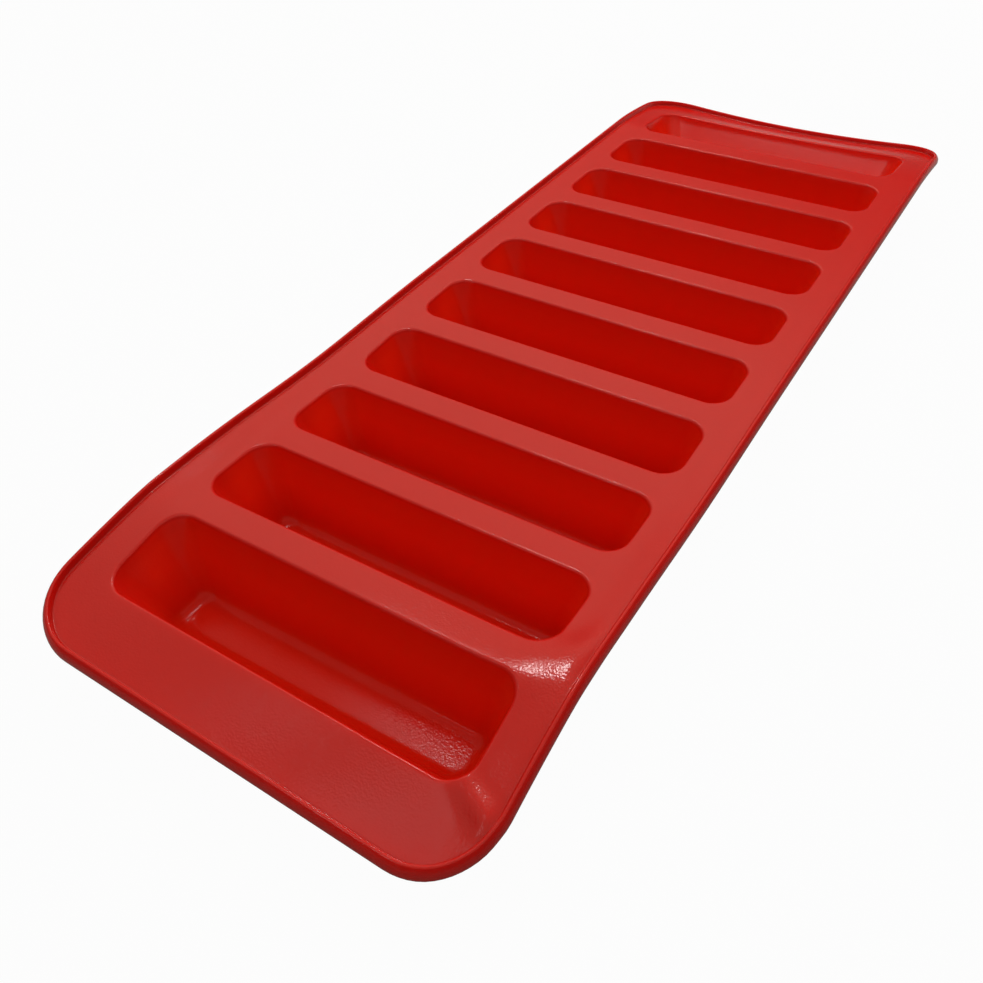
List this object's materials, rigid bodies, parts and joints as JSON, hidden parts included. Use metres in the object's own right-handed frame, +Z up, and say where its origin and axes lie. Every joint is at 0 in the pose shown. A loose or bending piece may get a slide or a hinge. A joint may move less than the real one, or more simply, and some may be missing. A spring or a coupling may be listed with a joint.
{
  "type": "ice pop mold",
  "caption": "Soft rubber ice pop mould: a row of long narrow pockets hanging from one thin flange with a raised rim, its ends slumped.",
  "frame": {"origin": "under the middle of the tray's outline, on the surface that the pocket floors stand on", "axes": "+X across the tray along each pocket, +Y along the tray from its near to its far end, +Z up"},
  "size_m": [0.117, 0.3326, 0.0242],
  "materials": {
    "red_silicone": "satin moulded silicone rubber"
  },
  "bodies": {
    "root": {"stick_tray": "red_silicone"}
  },
  "joints": []
}
